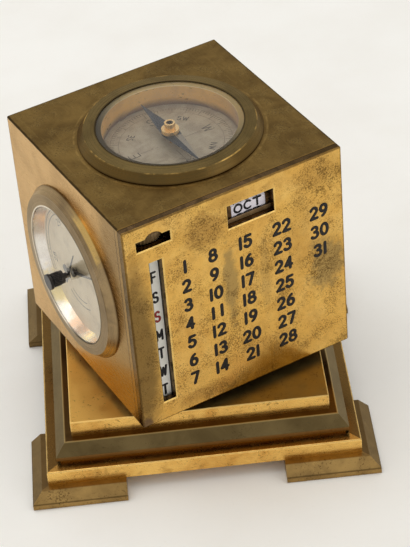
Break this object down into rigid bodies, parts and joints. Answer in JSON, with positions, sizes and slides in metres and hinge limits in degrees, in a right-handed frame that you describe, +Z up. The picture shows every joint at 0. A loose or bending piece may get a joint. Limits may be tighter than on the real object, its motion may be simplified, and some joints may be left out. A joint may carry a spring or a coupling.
{
  "type": "desk clock with calendar",
  "caption": "Brass cube on a stepped square base that revolves to show a calendar, a barometer, a clock, a thermometer and a compass on top.",
  "frame": {"origin": "floor level under the centre of the square base", "axes": "+Z up, -Y out of the base's front; at rest the cube stands turned 25.5 degrees about +Z on its swivel, its calendar face to the front right"},
  "size_m": [0.117, 0.117, 0.1107],
  "materials": {
    "dark_brass": "aged, brown patina",
    "front_brass": "worn satin with dark freckles",
    "side_brass": "worn satin",
    "base_brass": "worn satin",
    "moulding_brass": "dull, grey-brown patina",
    "foot_brass": "dull, brown patina",
    "bezel_brass": "dull, grey-brown patina",
    "polished_brass": "polished",
    "inner_brass": "plain",
    "copper_wall": "satin, coppery",
    "silvered_dial": "silvered, aged",
    "cream_dial": "silvered, cream",
    "steel": "plain",
    "blued_steel": "blued",
    "black_knob": "black ebonite",
    "label_white": "white enamel, satin",
    "glass": "clear"
  },
  "bodies": {
    "base": {"foot_front_left": "foot_brass", "foot_front_right": "foot_brass", "foot_rear_left": "foot_brass", "foot_rear_right": "foot_brass", "foot_screws": "steel", "base_plate": "base_brass", "base_moulding": "moulding_brass", "upper_plate": "base_brass", "base_screws": "steel", "pivot_bush": "inner_brass"},
    "cube": {"swivel_collar": "inner_brass", "pivot_stud": "steel", "stud_washer": "steel", "stud_nut": "steel", "case_nut": "steel", "calendar_plate": "front_brass", "front_frame": "side_brass", "top_plate": "dark_brass", "bottom_plate": "side_brass", "barometer_panel": "side_brass", "thermometer_panel": "side_brass", "clock_panel": "side_brass", "weekday_bearings": "inner_brass", "month_brackets": "inner_brass", "compass_bezel": "dark_brass", "compass_glass": "glass", "compass_bowl": "copper_wall", "compass_dial": "silvered_dial", "compass_pivot": "steel", "barometer_bezel": "bezel_brass", "barometer_glass": "glass", "barometer_ring": "polished_brass", "barometer_dial": "cream_dial", "barometer_case": "inner_brass", "aneroid_capsule": "inner_brass", "thermometer_bezel": "bezel_brass", "thermometer_glass": "glass", "thermometer_dial": "cream_dial", "thermometer_case": "inner_brass", "bimetal_coil": "inner_brass"},
    "weekday_drum": {"weekday_drum": "label_white", "weekday_spindle": "steel", "thumb_wheel": "inner_brass"},
    "month_drum": {"month_drum": "label_white", "month_spindle": "steel"},
    "compass_needle": {"compass_needle": "blued_steel", "needle_cap": "polished_brass"},
    "barometer_pointer": {"barometer_pointer": "blued_steel"},
    "set_hand": {"set_hand": "polished_brass", "set_knob": "black_knob"},
    "clock": {"clock_bezel": "bezel_brass", "clock_glass": "glass", "clock_dial": "cream_dial", "clock_case": "inner_brass", "clock_movement": "inner_brass"},
    "minute_hand": {"minute_hand": "blued_steel", "setting_knob": "inner_brass"},
    "hour_hand": {"hour_hand": "blued_steel"},
    "winding_key": {"winding_key": "inner_brass"},
    "thermometer_pointer": {"thermometer_pointer": "blued_steel"}
  },
  "joints": [
    {"name": "cube_swivel", "type": "hinge", "parent": "base", "child": "cube", "pos_m": [0, 0, 0.0236], "axis": [0, 0, 1], "continuous": true},
    {"name": "weekday_turn", "type": "hinge", "parent": "cube", "child": "weekday_drum", "pos_m": [-0.01288, -0.04082, 0.0664], "axis": [0, 0, 1], "continuous": true},
    {"name": "month_turn", "type": "hinge", "parent": "cube", "child": "month_drum", "pos_m": [0.01805, -0.02408, 0.0953], "axis": [0.9026, 0.4305, 0], "continuous": true},
    {"name": "compass_turn", "type": "hinge", "parent": "cube", "child": "compass_needle", "pos_m": [0, 0, 0.1064], "axis": [0, 0, 1], "continuous": true},
    {"name": "barometer_pointer_turn", "type": "hinge", "parent": "cube", "child": "barometer_pointer", "pos_m": [-0.0361, -0.01722, 0.0664], "axis": [-0.9026, -0.4305, 0], "range_deg": [-68, 202]},
    {"name": "set_hand_turn", "type": "hinge", "parent": "cube", "child": "set_hand", "pos_m": [-0.0361, -0.01722, 0.0664], "axis": [-0.9026, -0.4305, 0], "continuous": true},
    {"name": "clock_pullout", "type": "slide", "parent": "cube", "child": "clock", "axis": [-0.4305, 0.9026, 0], "range_m": [0, 0.036]},
    {"name": "minute_hand_turn", "type": "hinge", "parent": "clock", "child": "minute_hand", "pos_m": [-0.01722, 0.0361, 0.0664], "axis": [-0.4305, 0.9026, 0], "continuous": true},
    {"name": "hour_hand_turn", "type": "hinge", "parent": "clock", "child": "hour_hand", "pos_m": [-0.01722, 0.0361, 0.0664], "axis": [-0.4305, 0.9026, 0], "continuous": true},
    {"name": "winding_key_turn", "type": "hinge", "parent": "clock", "child": "winding_key", "pos_m": [-0.00684, 0.04105, 0.0664], "axis": [-0.4305, 0.9026, 0], "continuous": true},
    {"name": "thermometer_pointer_turn", "type": "hinge", "parent": "cube", "child": "thermometer_pointer", "pos_m": [0.0361, 0.01722, 0.0664], "axis": [0.9026, 0.4305, 0], "range_deg": [-150, 110]}
  ],
  "couplings": [
    {"joint": "hour_hand_turn", "follows": "minute_hand_turn", "ratio": 0.083333}
  ]
}
